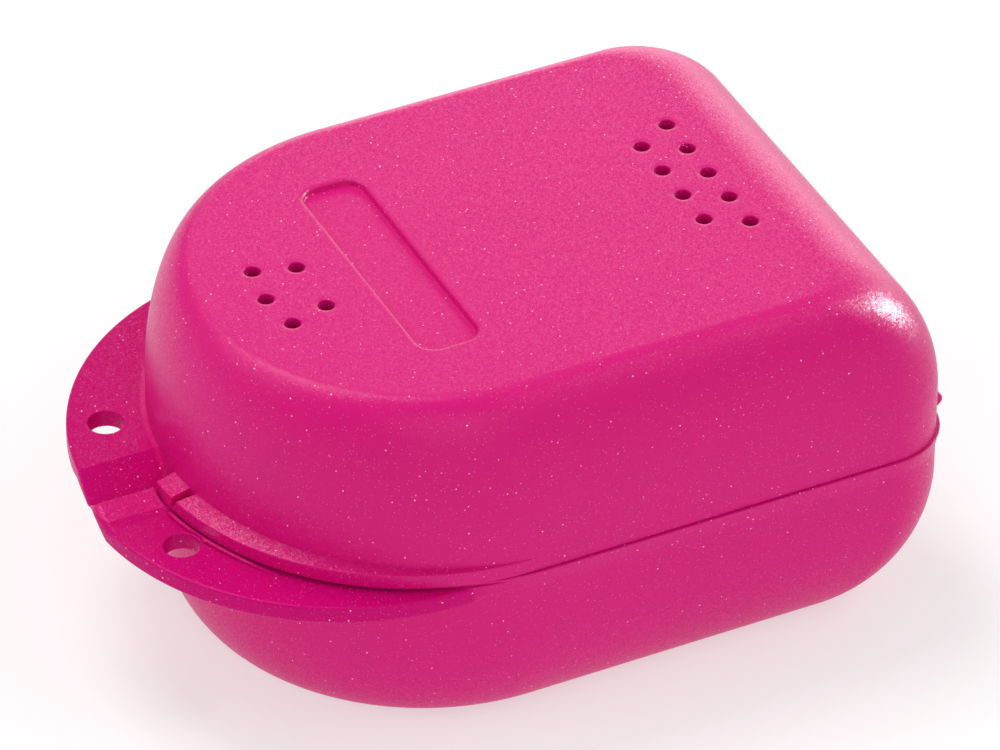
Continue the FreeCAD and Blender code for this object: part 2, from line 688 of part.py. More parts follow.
os.makedirs("parts", exist_ok=True)
for shell in (upper_shell, lower_shell):
    if shell.Shape.isNull() or not shell.Shape.isValid():
        raise RuntimeError(f"{shell.Label} has no valid shape")
    print(shell.Label, "solids", len(shell.Shape.Solids), "volume", round(shell.Shape.Volume, 1))
    shell.Shape.exportStep(f"parts/{shell.Label}.step")
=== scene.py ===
# %% [markdown]
# # A hinged retainer case
#
# This lesson dresses a plastic case for an orthodontic retainer.  The case is two domed
# shells of magenta plastic with glitter in it.  Both come from one mould form: the base is
# the lid turned over about its long axis, so one shell is modelled once and used twice.
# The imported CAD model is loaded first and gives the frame: its bodies, hinge and sizes.

from math import acos, atan2, cos, degrees, pi, radians, sin, sqrt

import bmesh
import bpy
from mathutils import Matrix, Vector


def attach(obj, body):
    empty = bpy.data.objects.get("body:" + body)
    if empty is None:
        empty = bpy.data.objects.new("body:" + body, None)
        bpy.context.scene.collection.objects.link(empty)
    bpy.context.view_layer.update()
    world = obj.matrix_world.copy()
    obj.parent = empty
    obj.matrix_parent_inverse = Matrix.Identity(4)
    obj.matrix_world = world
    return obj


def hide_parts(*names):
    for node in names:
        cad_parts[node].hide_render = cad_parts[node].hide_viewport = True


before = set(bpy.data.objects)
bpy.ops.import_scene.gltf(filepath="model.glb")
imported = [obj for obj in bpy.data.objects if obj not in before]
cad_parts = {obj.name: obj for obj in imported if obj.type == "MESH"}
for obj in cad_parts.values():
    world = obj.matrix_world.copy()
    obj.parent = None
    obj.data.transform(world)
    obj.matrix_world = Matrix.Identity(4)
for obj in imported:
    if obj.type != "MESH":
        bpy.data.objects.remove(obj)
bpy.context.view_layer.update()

# %% [markdown]
# ## Sizes
#
# The shell is drawn in millimetres with its parting plane at Z = 0 and its dome up.  X = 0
# is the middle, -Y is the front with the flange.  The sizes are those of the CAD model, so
# that the dressed shells fit the box, the hinge and the holes that the frame gives.  The
# play between the two rims is smaller, 0.06 mm in place of 0.2 mm: the photograph shows
# them closed, with a hairline between them.  The rail's slope, the ramp's foot and the label
# recess follow the photograph more closely too.

# %% Sizes of a shell, in millimetres
HALF_WIDTH = 35.0
HALF_HEIGHT = 24.0
RIM_REACH = 36.2
DOME_REACH = 33.7
REAR_REACH = 57.7
CORNER = 9.0
CORNER_TIGHTENING = 1.9
STRAIGHT_WALL = 5.9
SIDE_ROUND = 6.85
REAR_ROUND = 13.8
FRONT_ROUND = 5.9
WALL = 1.8
RIM_FACE = 0.03
PROUD = 0.35
PROUD_HEIGHT = 2.5
MM_PER_M = 1000
LENGTH_SHIFT = -7.925  # from the shell's cross axis to the middle of the case

rim_centre_y = HALF_WIDTH - RIM_REACH
wall_centre_y = HALF_WIDTH - DOME_REACH
print("rim", 2 * HALF_WIDTH, "x", RIM_REACH + REAR_REACH, "mm, height", 2 * HALF_HEIGHT)

# %% [markdown]
# ## Outlines
#
# Seen from above the case is a half circle at the front, two straight sides and two rounded
# corners at the back.  One function returns that outline as a ring of points.  Every ring
# has the same number of points in the same order, so rings of different sizes can be
# joined by quads without any matching.

# %% One ring of points
FRONT_STEPS = 128
CORNER_STEPS = 32
SIDE_STEPS = 14
BACK_STEPS = 12


def arc_points(centre, radius, start, end, steps):
    """Points of an arc without its last one; angles in degrees."""
    points = []
    for k in range(steps):
        angle = radians(start + (end - start) * k / steps)
        points.append((centre[0] + radius * cos(angle), centre[1] + radius * sin(angle)))
    return points


def arc_with_end(centre, radius, start, end, steps):
    """Points of an arc, both ends included."""
    last = radians(end)
    return arc_points(centre, radius, start, end, steps) + [
        (centre[0] + radius * cos(last), centre[1] + radius * sin(last))
    ]


def run_points(start, end, steps):
    """Points of a straight run without its last one."""
    return [
        tuple(first + (last - first) * k / steps for first, last in zip(start, end))
        for k in range(steps)
    ]


def outline(width, reach, rear, corner, proud=0.0):
    """Outline seen from above; proud widens its left side and its left back corner."""
    left = width + proud
    front_y = width - reach
    bend_y = rear - corner
    middle = ((width - left) / 2, front_y)
    points = arc_points(middle, (width + left) / 2, 180, 360, FRONT_STEPS)
    points += run_points((width, front_y), (width, bend_y), SIDE_STEPS)
    points += arc_points((width - corner, bend_y), corner, 0, 90, CORNER_STEPS)
    points += run_points((width - corner, rear), (corner - left, rear + proud), BACK_STEPS)
    points += arc_points((corner - left, bend_y + proud), corner, 90, 180, CORNER_STEPS)
    points += run_points((-left, bend_y + proud), (-left, front_y), SIDE_STEPS)
    return points


def ring(height, inset=0.0, reach=DOME_REACH, proud=0.0):
    """Outline of the upright wall or the rim at a height, drawn in by inset."""
    sizes = (HALF_WIDTH - inset, reach - inset, REAR_REACH - inset, CORNER - inset)
    return [(x, y, height) for x, y in outline(*sizes, proud)]


print("points in a ring", len(ring(0)))

# %% [markdown]
# ## Solids from rings
#
# Most forms of the shell are a stack of closed rings: the wall, the rail, a cutter for a
# hole, the hinge hook.  The helper joins neighbouring rings with quads and closes both
# ends, which gives a closed solid that a Boolean can add or take away.

# %% Build, finish and combine solids
def as_object(name, mesh):
    """New object of the scene for a mesh."""
    piece = bpy.data.objects.new(name, mesh)
    bpy.context.scene.collection.objects.link(piece)
    return piece


def join_rings(form, rings):
    """Adds rings of equally many points, with quads between neighbours."""
    loops = [[form.verts.new(point) for point in points] for points in rings]
    count = len(loops[0])
    for low, high in zip(loops, loops[1:]):
        for k in range(count):
            after = (k + 1) % count
            form.faces.new((low[k], low[after], high[after], high[k]))
    return loops


def stack(name, rings):
    """Closed solid through a row of rings."""
    form = bmesh.new()
    loops = join_rings(form, rings)
    form.faces.new(list(reversed(loops[0])))
    form.faces.new(loops[-1])
    bmesh.ops.recalc_face_normals(form, faces=form.faces)
    mesh = bpy.data.meshes.new(name)
    form.to_mesh(mesh)
    form.free()
    return as_object(name, mesh)


def freeze(piece):
    """Turns what the modifiers make into the piece's own plain mesh."""
    depsgraph = bpy.context.evaluated_depsgraph_get()
    made = bpy.data.meshes.new_from_object(piece.evaluated_get(depsgraph))
    before = piece.data
    piece.modifiers.clear()
    piece.data = made
    bpy.data.meshes.remove(before)
    return piece


def combine(piece, tool, operation):
    """Adds or cuts away a tool solid, which is used up."""
    boolean = piece.modifiers.new("combine", "BOOLEAN")
    boolean.operation = operation
    boolean.solver = "EXACT"
    boolean.object = tool
    freeze(piece)
    bpy.data.objects.remove(tool)
    return piece


def volume(piece):
    """Volume of a closed mesh, in its own units."""
    form = bmesh.new()
    form.from_mesh(piece.data)
    size = form.calc_volume()
    form.free()
    return size


# %% [markdown]
# ## The glitter plastic
#
# The real plastic is satin magenta polypropylene with fine white glitter, lighter where
# light grazes it.  The glitter is two Voronoi patterns, a sparse bright one and a dense
# faint one: a fleck shows where the distance to a cell's centre is small, and the cell's
# random colour decides how bright it is.  A third pattern tilts the surface a little from
# cell to cell, which breaks the highlight on the back corner into grain.  The flange and
# the rail are smoother than the dome, as in the photograph, where they reflect less of the
# light above.  The flanges' magenta is painted darker: painted shade from the dome.
# An image would have done the same, but needs unwrapping and goes stale when a size changes.

# %% Material of both shells
MAGENTA = (0.63, 0.002, 0.172, 1)
LIGHTER_MAGENTA = (0.68, 0.003, 0.190, 1)
# painted shade: the flanges' magenta, darker where the dome shades them
SHADED_FLANGE_MAGENTA = (0.57, 0.0015, 0.156, 1)
FLECK_COLOUR = (1.0, 0.72, 0.86, 1)
BRIGHT_FLECKS = (1000.0, 0.00009, 0.45)  # cells per metre, radius in metres, share of cells
FAINT_FLECKS = (2500.0, 0.00005, 0.8)
FAINTNESS = 0.35
CLOUDS_PER_METRE = 45.0
GRAINS_PER_METRE = 5200.0
GRAIN_TILT = 0.09
ROUGHNESS = (0.28, 0.42)
SMOOTHER_OFF_DOME = 0.08
SPECULAR = 0.2
DULLER_FLANGE = 0.14
SOFT_EDGE = 0.0001
PLASTIC_IOR = 1.49
OFF_DOME_RADIUS = 35.4  # just outside the front wall, in millimetres
MASK_RUN = 0.4


def node(tree, kind, **settings):
    """New node with some of its properties set."""
    made = tree.nodes.new(kind)
    for name, setting in settings.items():
        setattr(made, name, setting)
    return made


def feed(tree, socket, source):
    """Links an output to an input, or writes a number into it."""
    if isinstance(source, bpy.types.NodeSocket):
        tree.links.new(source, socket)
    else:
        socket.default_value = source


def calculate(tree, operation, first, second=0.0, third=0.0):
    """Math node on numbers or sockets."""
    made = node(tree, "ShaderNodeMath", operation=operation)
    for socket, source in zip(made.inputs, (first, second, third)):
        feed(tree, socket, source)
    return made.outputs[0]


def blend(tree, factor, first, second):
    """Mix of two colours, each a socket or four numbers."""
    made = node(tree, "ShaderNodeMix", data_type="RGBA")
    for name, source in (("Factor", factor), ("A", first), ("B", second)):
        feed(tree, made.inputs[name], source)
    return made.outputs["Result"]


def texture(tree, kind, place, scale, **settings):
    """Procedural texture at a place, with its scale in cells per metre."""
    made = node(tree, kind, **settings)
    feed(tree, made.inputs["Vector"], place)
    feed(tree, made.inputs["Scale"], scale)
    return made


def vector_math(tree, operation, *sources):
    """Vector math node on sockets or triples of numbers."""
    made = node(tree, "ShaderNodeVectorMath", operation=operation)
    for socket, source in zip(made.inputs, sources):
        feed(tree, socket, source)
    return made.outputs[0]


def glitter(tree, place, cells_per_metre, radius, share):
    """Mask of round flecks: their share of the cells, and brightness that varies."""
    cells = texture(tree, "ShaderNodeTexVoronoi", place, cells_per_metre, feature="F1")
    chance = node(tree, "ShaderNodeSeparateColor")
    feed(tree, chance.inputs[0], cells.outputs["Color"])
    chosen = calculate(tree, "LESS_THAN", chance.outputs[0], share)
    near = calculate(tree, "LESS_THAN", cells.outputs["Distance"], radius * cells_per_metre)
    shine = calculate(tree, "MULTIPLY_ADD", chance.outputs[1], 0.75, 0.25)
    return calculate(tree, "MULTIPLY", calculate(tree, "MULTIPLY", chosen, near), shine)


def in_front_of(tree, place, centre_y, radius):
    """1 outside a circle about a point of the middle plane, in its front half, else 0."""
    split = node(tree, "ShaderNodeSeparateXYZ")
    feed(tree, split.inputs[0], place)
    middle_y = (centre_y + LENGTH_SHIFT) / MM_PER_M
    past_middle = calculate(tree, "SUBTRACT", split.outputs[1], middle_y)
    ahead = calculate(tree, "MINIMUM", past_middle)
    squares = calculate(tree, "ADD", calculate(tree, "POWER", split.outputs[0], 2.0),
                        calculate(tree, "POWER", ahead, 2.0))
    mask = node(tree, "ShaderNodeMapRange")
    feed(tree, mask.inputs["Value"], calculate(tree, "SQRT", squares))
    mask.inputs["From Min"].default_value = radius / MM_PER_M
    mask.inputs["From Max"].default_value = (radius + MASK_RUN) / MM_PER_M
    return mask.outputs["Result"]


def only_flanges(tree, place, off_dome):
    """Keeps the flanges of a mask: left above the parting plane and right below it."""
    split = node(tree, "ShaderNodeSeparateXYZ")
    feed(tree, split.inputs[0], place)
    height = calculate(tree, "SUBTRACT", split.outputs[2], HALF_HEIGHT / MM_PER_M)
    side = calculate(tree, "MULTIPLY", split.outputs[0], height)
    return calculate(tree, "MULTIPLY", off_dome, calculate(tree, "LESS_THAN", side, 0.0))


def glitter_plastic():
    """Satin magenta plastic with glitter and a fine grain."""
    material = bpy.data.materials.new("glitter_plastic")
    material.use_nodes = True
    tree = material.node_tree
    tree.nodes.clear()
    result = node(tree, "ShaderNodeOutputMaterial")
    shader = node(tree, "ShaderNodeBsdfPrincipled")
    tree.links.new(shader.outputs[0], result.inputs[0])
    place = node(tree, "ShaderNodeTexCoord").outputs["Object"]

    bright = glitter(tree, place, *BRIGHT_FLECKS)
    faint = calculate(tree, "MULTIPLY", glitter(tree, place, *FAINT_FLECKS), FAINTNESS)
    flecks = calculate(tree, "MAXIMUM", bright, faint)
    off_dome = in_front_of(tree, place, wall_centre_y, OFF_DOME_RADIUS)
    on_flange = only_flanges(tree, place, off_dome)

    cloud = texture(tree, "ShaderNodeTexNoise", place, CLOUDS_PER_METRE)
    feed(tree, cloud.inputs["Detail"], 3.0)
    tint = blend(tree, cloud.outputs["Fac"], MAGENTA, LIGHTER_MAGENTA)
    # painted shade: the flanges get the darker magenta
    tint = blend(tree, on_flange, tint, SHADED_FLANGE_MAGENTA)
    feed(tree, shader.inputs["Base Color"], blend(tree, flecks, tint, FLECK_COLOUR))

    grain = texture(tree, "ShaderNodeTexNoise", place, GRAINS_PER_METRE)
    feed(tree, grain.inputs["Detail"], 2.0)
    satin = node(tree, "ShaderNodeMapRange")
    feed(tree, satin.inputs["Value"], grain.outputs["Fac"])
    satin.inputs["To Min"].default_value, satin.inputs["To Max"].default_value = ROUGHNESS
    smoother = calculate(tree, "MULTIPLY", off_dome, SMOOTHER_OFF_DOME)
    roughness = calculate(tree, "SUBTRACT", satin.outputs["Result"], smoother)
    feed(tree, shader.inputs["Roughness"], roughness)

    soft_edges = node(tree, "ShaderNodeBevel", samples=4)
    soft_edges.inputs["Radius"].default_value = SOFT_EDGE
    flakes = texture(tree, "ShaderNodeTexVoronoi", place, GRAINS_PER_METRE, feature="F1")
    tilt = vector_math(tree, "MULTIPLY_ADD", flakes.outputs["Color"],
                       (2 * GRAIN_TILT,) * 3, (-GRAIN_TILT,) * 3)
    tilted = vector_math(tree, "ADD", soft_edges.outputs[0], tilt)
    feed(tree, shader.inputs["Normal"], vector_math(tree, "NORMALIZE", tilted))

    shader.inputs["IOR"].default_value = PLASTIC_IOR
    duller = calculate(tree, "MULTIPLY", on_flange, DULLER_FLANGE)
    specular = calculate(tree, "SUBTRACT", SPECULAR, duller)
    feed(tree, shader.inputs["Specular IOR Level"], specular)
    return material


plastic = glitter_plastic()
print("material", plastic.name, "with", len(plastic.node_tree.nodes), "nodes")

# %% [markdown]
# ## The dome
#
# The dome follows a rule.  Going up, every point of the outline is drawn in along its own
# short arrow while it rises, like a quarter of an ellipse, and the arrow is longer at the
# back than at the sides.  Such a rule suits Geometry Nodes: the tree gets the wall's
# outline, whose points carry their arrow as an attribute, bends a grid along the rule and
# merges its seam.

# %% Node tree that lofts a dome
SAME_PLACE = 0.0005  # points nearer than this are merged
DOME_ROWS = 56
CAVITY_ROWS = 40


def new_tree(name, inputs):
    """Geometry node tree with named inputs; returns it, its ends and the identifiers."""
    tree = bpy.data.node_groups.new(name, "GeometryNodeTree")
    tree.interface.new_socket("Geometry", in_out="INPUT", socket_type="NodeSocketGeometry")
    identifiers = {}
    for label, (kind, value) in inputs.items():
        socket_type = f"NodeSocket{kind}"
        made = tree.interface.new_socket(label, in_out="INPUT", socket_type=socket_type)
        if value is not None:
            made.default_value = value
        identifiers[label] = made.identifier
    tree.interface.new_socket("Geometry", in_out="OUTPUT", socket_type="NodeSocketGeometry")
    start = node(tree, "NodeGroupInput")
    end = node(tree, "NodeGroupOutput")
    return tree, start.outputs, end.inputs, identifiers


def end_tree(tree, geometry, material, end):
    """Last two nodes of every tree: real faces, and their material."""
    realized = node(tree, "GeometryNodeRealizeInstances")
    tree.links.new(geometry, realized.inputs[0])
    painted = node(tree, "GeometryNodeSetMaterial")
    tree.links.new(realized.outputs[0], painted.inputs["Geometry"])
    tree.links.new(material, painted.inputs["Material"])
    tree.links.new(painted.outputs[0], end["Geometry"])


def dome_tree():
    """Bends a grid along the rule, with one column for each point of the outline."""
    tree, start, end, identifiers = new_tree("dome_rule", {
        "Rows": ("Int", DOME_ROWS),
        "Foot": ("Float", STRAIGHT_WALL),
        "Rise": ("Float", HALF_HEIGHT - STRAIGHT_WALL),
        "Material": ("Material", None),
    })
    ring_size = node(tree, "GeometryNodeAttributeDomainSize", component="MESH")
    tree.links.new(start["Geometry"], ring_size.inputs[0])
    count = ring_size.outputs["Point Count"]
    grid = node(tree, "GeometryNodeMeshGrid")
    feed(tree, grid.inputs["Size X"], count)
    feed(tree, grid.inputs["Size Y"], start["Rows"])
    feed(tree, grid.inputs["Vertices X"], calculate(tree, "ADD", count, 1))
    feed(tree, grid.inputs["Vertices Y"], calculate(tree, "ADD", start["Rows"], 1))

    spot = node(tree, "ShaderNodeSeparateXYZ")
    tree.links.new(node(tree, "GeometryNodeInputPosition").outputs[0], spot.inputs[0])
    along = calculate(tree, "ADD", spot.outputs[0], calculate(tree, "MULTIPLY", count, 0.5))
    column = calculate(tree, "FLOORED_MODULO", calculate(tree, "ROUND", along), count)
    up = calculate(tree, "DIVIDE", spot.outputs[1], start["Rows"])
    angle = calculate(tree, "MULTIPLY", calculate(tree, "ADD", up, 0.5), pi / 2)
    lean = calculate(tree, "SUBTRACT", 1.0, calculate(tree, "COSINE", angle))
    rise = calculate(tree, "MULTIPLY", calculate(tree, "SINE", angle), start["Rise"])

    arrow = node(tree, "GeometryNodeInputNamedAttribute", data_type="FLOAT_VECTOR")
    arrow.inputs["Name"].default_value = "draw_in"
    samples = []
    for field in (node(tree, "GeometryNodeInputPosition").outputs[0], arrow.outputs[0]):
        sample = node(tree, "GeometryNodeSampleIndex", data_type="FLOAT_VECTOR")
        tree.links.new(start["Geometry"], sample.inputs["Geometry"])
        tree.links.new(field, sample.inputs["Value"])
        tree.links.new(column, sample.inputs["Index"])
        samples.append(sample.outputs[0])
    drawn = node(tree, "ShaderNodeVectorMath", operation="SCALE")
    tree.links.new(samples[1], drawn.inputs[0])
    tree.links.new(lean, drawn.inputs["Scale"])
    lifted = node(tree, "ShaderNodeCombineXYZ")
    tree.links.new(calculate(tree, "ADD", rise, start["Foot"]), lifted.inputs[2])
    level = node(tree, "ShaderNodeVectorMath", operation="ADD")
    tree.links.new(samples[0], level.inputs[0])
    tree.links.new(drawn.outputs[0], level.inputs[1])
    final = node(tree, "ShaderNodeVectorMath", operation="ADD")
    tree.links.new(level.outputs[0], final.inputs[0])
    tree.links.new(lifted.outputs[0], final.inputs[1])

    bent = node(tree, "GeometryNodeSetPosition")
    tree.links.new(grid.outputs["Mesh"], bent.inputs["Geometry"])
    tree.links.new(final.outputs[0], bent.inputs["Position"])
    merged = node(tree, "GeometryNodeMergeByDistance")
    tree.links.new(bent.outputs[0], merged.inputs["Geometry"])
    merged.inputs["Distance"].default_value = SAME_PLACE
    end_tree(tree, merged.outputs[0], start["Material"], end)
    return tree, identifiers


dome_rule, dome_inputs = dome_tree()
print("tree", dome_rule.name, "with inputs", list(dome_inputs))


# %% [markdown]
# The tree makes the skin of the dome only.  The upright wall below it is a few more rings,
# with a soft edge at the rim and, on the left, the slight swelling that makes one rim stand
# proud of the other along the seam.  Merging the two and filling both ends closes the form.

# %% Dome with its upright wall
def with_arrows(name, inset):
    """Outline of the wall whose points carry their arrow to the dome's flat top."""
    foot = outline(
        HALF_WIDTH - inset, DOME_REACH - inset, REAR_REACH - inset, CORNER - inset,
    )
    top = outline(
        HALF_WIDTH - SIDE_ROUND - inset, DOME_REACH - FRONT_ROUND - inset,
        REAR_REACH - REAR_ROUND - inset, CORNER - CORNER_TIGHTENING - inset,
    )
    mesh = bpy.data.meshes.new(name)
    mesh.from_pydata([(x, y, 0.0) for x, y in foot], [], [])
    arrows = mesh.attributes.new("draw_in", "FLOAT_VECTOR", "POINT")
    for k, ((x0, y0), (x1, y1)) in enumerate(zip(foot, top)):
        arrows.data[k].vector = (x1 - x0, y1 - y0, 0.0)
    return as_object(name, mesh)


def domed_form(name, inset, lower_rings, rows):
    """Closed form: rings from the bottom up to the wall's top, then the dome."""
    piece = with_arrows(name, inset)
    grower = piece.modifiers.new("dome", "NODES")
    grower.node_group = dome_rule
    grower[dome_inputs["Rows"]] = rows
    grower[dome_inputs["Rise"]] = HALF_HEIGHT - STRAIGHT_WALL - inset
    grower[dome_inputs["Material"]] = plastic
    freeze(piece)
    form = bmesh.new()
    form.from_mesh(piece.data)
    join_rings(form, lower_rings)
    bmesh.ops.remove_doubles(form, verts=form.verts, dist=SAME_PLACE)
    open_edges = [edge for edge in form.edges if edge.is_boundary]
    bmesh.ops.holes_fill(form, edges=open_edges, sides=0)
    bmesh.ops.recalc_face_normals(form, faces=form.faces)
    form.to_mesh(piece.data)
    form.free()
    return piece


wall_rows = [  # height, how far it is drawn in, and share of the swelling
    (RIM_FACE, 0.08, 1.0),
    (RIM_FACE + 0.02, 0.03, 1.0),
    (RIM_FACE + 0.05, 0.008, 1.0),
    (RIM_FACE + 0.1, 0.0, 0.99),
    (PROUD_HEIGHT * 0.5, 0.0, 0.5),
    (PROUD_HEIGHT * 0.8, 0.0, 0.16),
    (PROUD_HEIGHT * 1.1, 0.0, 0.0),
    (STRAIGHT_WALL, 0.0, 0.0),
]
outside_rings = [
    ring(height, inset, proud=PROUD * share) for height, inset, share in wall_rows
]
shell = domed_form("shell", 0.0, outside_rings, DOME_ROWS)
print("outside form: faces", len(shell.data.polygons), "volume mm3", round(volume(shell)))

# %% [markdown]
# ## The rail and the nose block
#
# Along the right half of the front the rim stands out as a rail whose top slopes outwards to
# a soft edge.  It is the same outline again, drawn 2.5 mm further forward, so that it dies
# away into the side wall by itself.  One long prism takes off its left half, and a small
# one with a slanted side makes the notch that sets the nose block apart from the rail.

# %% Rail
RAIL_HEIGHT = 2.75
RAIL_EDGE = 0.2
RAIL_SHOULDER = 1.85
RAIL_SLOPE = radians(16)
BLOCK_START = 1.3
FLANGE_GAP = 0.4
FLANGE_TOP = 2.8
RAMP_RUN = 4.0
RAMP_FOOT = 0.08
WEDGE_RUN = 1.0
WEDGE_DROP = 1.0
WEDGE_LENGTH = 3.9
RAMP_MARGIN = 1.5
NOTCH_START = 5.0
NOTCH_WIDTH = 1.5
NOTCH_FLOOR = 0.5
SOFT_STEPS = 6
CUT_TOP = 6  # cutters end well outside of the form
CUT_BOTTOM = -3
CUT_SIDE = 60


def prism(name, profile, start, end):
    """Prism along Y through a profile of (x, z) points."""
    return stack(name, [[(x, y, z) for x, z in profile] for y in (start, end)])


RAIL_INSET = 0.03
rail_rings = [
    ring(RIM_FACE + rise, inset, RIM_REACH)
    for rise, inset in ((0.003, 0.12), (0.05, 0.05), (0.12, RAIL_INSET))
]
for k in range(SOFT_STEPS + 1):
    turn = k * (pi / 2 - RAIL_SLOPE) / SOFT_STEPS
    inset = RAIL_INSET + RAIL_EDGE * (1 - cos(turn))
    rail_rings.append(ring(RAIL_SHOULDER + RAIL_EDGE * sin(turn), inset, RIM_REACH))
rail_rings.append(ring(RAIL_HEIGHT, 2.7, RIM_REACH))
rail = stack("rail", rail_rings)
under_flange = FLANGE_GAP + 0.05
past_ramp = -RAMP_RUN - RAMP_MARGIN
clearance = prism("clearance", [
    (-CUT_SIDE, CUT_BOTTOM), (-CUT_SIDE, under_flange), (past_ramp, under_flange),
    (past_ramp, CUT_TOP), (BLOCK_START, CUT_TOP), (BLOCK_START, CUT_BOTTOM),
], -CUT_SIDE, 0)
combine(rail, clearance, "DIFFERENCE")
notch_end = NOTCH_START + NOTCH_WIDTH
notch = prism("notch", [
    (NOTCH_START, CUT_TOP), (NOTCH_START, NOTCH_FLOOR),
    (notch_end, RAIL_HEIGHT), (notch_end, CUT_TOP),
], -40, -20)
combine(rail, notch, "DIFFERENCE")
combine(shell, rail, "UNION")
print("with the rail: volume mm3", round(volume(shell)))

# %% [markdown]
# ## The flange
#
# The left half of the front carries a flat flange.  Towards the middle its top slopes down
# as a ramp, and its underside drops into a wedge that reaches past the parting plane.  The
# flange is a row of cross sections.  Near the middle they run straight forward, so that the
# creases of the ramp fall on mesh edges, and further round they fan out.

# %% Flange
FLANGE_RADIUS = 34.2
FLANGE_REACH = 44.5
FLANGE_EDGE = 0.4
FLANGE_ROOT = 33.9
LEAST_FLANGE = 1.5
FAN_START = 168  # angles of the fanned sections, in degrees
FAN_END = 259.9
FAN_STEPS = 72
STRAIGHT_SECTIONS = (-5.6, -5.2, -4.9, -4.6, -4.3, -4.0, -3.6, -3.2, -2.8, -2.4, -2.0,
                     -1.6, -1.3, -1.0, -0.8, -0.6, -0.4, -0.2, -0.02)
flange_centre_y = FLANGE_RADIUS - FLANGE_REACH


def between(value, start, run):
    """Share of a run that a value has passed, kept within 0 and 1."""
    return min(max((value - start) / run, 0.0), 1.0)


def flange_top(x):
    """Height of the flange's upper face."""
    slope = (FLANGE_TOP - RAMP_FOOT) / RAMP_RUN
    return FLANGE_TOP if x <= -RAMP_RUN else RAMP_FOOT - slope * x


def flange_bottom(x):
    """Height of the flange's underside, with the wedge near the middle."""
    if x <= -WEDGE_RUN - WEDGE_LENGTH:
        return FLANGE_GAP
    if x <= -WEDGE_RUN:
        share = (x + WEDGE_RUN + WEDGE_LENGTH) / WEDGE_LENGTH
        return FLANGE_GAP - share * (FLANGE_GAP + WEDGE_DROP)
    return -WEDGE_DROP + (x + WEDGE_RUN) * (RAMP_FOOT + WEDGE_DROP) / WEDGE_RUN


def draft(x):
    """Extra slant at the outer end of the wedge, 0 to 1."""
    return between(x, -6.7, 2.2) * between(-x, 0.4, 0.8)


def flange_section(outer, inner):
    """Closed cross section between two points seen from above, rounded at its outer end."""
    length = sqrt((outer[0] - inner[0]) ** 2 + (outer[1] - inner[1]) ** 2)

    def point(back, height_of, drop):
        share = 1 - back / length
        x = inner[0] + (outer[0] - inner[0]) * share
        y = inner[1] + (outer[1] - inner[1]) * share
        limit = 0.48 * (flange_top(x) - flange_bottom(x))
        return (x, y, height_of(x) + max(-limit, min(limit, drop)))

    slant = draft(outer[0])
    low_run = FLANGE_EDGE + 0.45 * slant
    low_rise = FLANGE_EDGE + 0.75 * slant
    points = [point(length, flange_top, 0.0), point(length / 2, flange_top, 0.0)]
    for k in range(SOFT_STEPS + 1):
        turn = k * pi / 2 / SOFT_STEPS
        back = FLANGE_EDGE * (1 - sin(turn))
        points.append(point(back, flange_top, -FLANGE_EDGE * (1 - cos(turn))))
    for k in range(SOFT_STEPS + 1):
        turn = k * pi / 2 / SOFT_STEPS
        back = low_run * (1 - cos(turn))
        points.append(point(back, flange_bottom, low_rise * (1 - sin(turn))))
    points += [point(length / 2, flange_bottom, 0.0), point(length, flange_bottom, 0.0)]
    return points


def root_y(x):
    """Where a straight section starts, just inside the dome's wall."""
    return wall_centre_y - sqrt(FLANGE_ROOT ** 2 - x ** 2)


sections = []
for k in range(FAN_STEPS + 1):
    angle = radians(FAN_START + (FAN_END - FAN_START) * k / FAN_STEPS)
    outer = (FLANGE_RADIUS * cos(angle), flange_centre_y + FLANGE_RADIUS * sin(angle))
    to_wall = wall_centre_y - flange_centre_y
    reach = to_wall * sin(angle) + sqrt(FLANGE_ROOT ** 2 - (to_wall * cos(angle)) ** 2)
    reach = min(reach, FLANGE_RADIUS - LEAST_FLANGE)
    fan = between(-outer[0], 6.0, 14.0)
    inner_x = outer[0] + (reach * cos(angle) - outer[0]) * fan * fan * (3 - 2 * fan)
    sections.append(flange_section(outer, (inner_x, root_y(inner_x))))
for x in STRAIGHT_SECTIONS:
    outer = (x, flange_centre_y - sqrt(FLANGE_RADIUS ** 2 - x * x))
    sections.append(flange_section(outer, (x, root_y(x))))
flange = stack("flange", sections)


def drum(name, centre, radius, low, high, steps=96):
    """Upright cylinder."""
    flat = arc_points(centre, radius, 0, 360, steps)
    return stack(name, [[(x, y, z) for x, y in flat] for z in (low, high)])


relief = drum("relief", (0, rim_centre_y), HALF_WIDTH + 0.3, -4, RIM_FACE + 0.004, 256)
combine(flange, relief, "DIFFERENCE")
combine(shell, flange, "UNION")
print("with the flange: volume mm3", round(volume(shell)))

# %% [markdown]
# ## Hollowing
#
# The cavity is the same dome, one wall thickness smaller, and open at the parting plane.
# Taking it out of the solid leaves an even wall.

# %% Cavity
lower_rings = [ring(CUT_BOTTOM, WALL), ring(STRAIGHT_WALL, WALL)]
cavity = domed_form("cavity", WALL, lower_rings, CAVITY_ROWS)
combine(shell, cavity, "DIFFERENCE")
print("hollow shell: volume mm3", round(volume(shell)))

# %% [markdown]
# ## Sill and locating lip
#
# A thin sill stands on the flange's inner face and hugs the other shell's rail.  Inside the
# rim, along the right side, a lip reaches past the parting plane and keeps the two shells
# in line.  Both are one cross section carried along an arc, and the lip goes on straight
# down the side.

# %% Sill and lip
SILL_STEPS = 40
SILL_START, SILL_TURN = 232, 30  # degrees
SILL_INSIDE, SILL_OUTSIDE, SILL_ROOT = 35.2, 35.65, 1.0
LIP_STEPS = 48
LIP_START, LIP_TURN = 284, 76  # degrees
LIP_TAIL = (20.0, 40.0)
LIP_PROFILE = [(34.1, 0.103), (34.1, 2.1), (32.1, 2.1), (32.1, -1.2), (32.25, -1.4),
               (32.8, -1.4), (33.0, -1.15), (33.0, 0.103)]


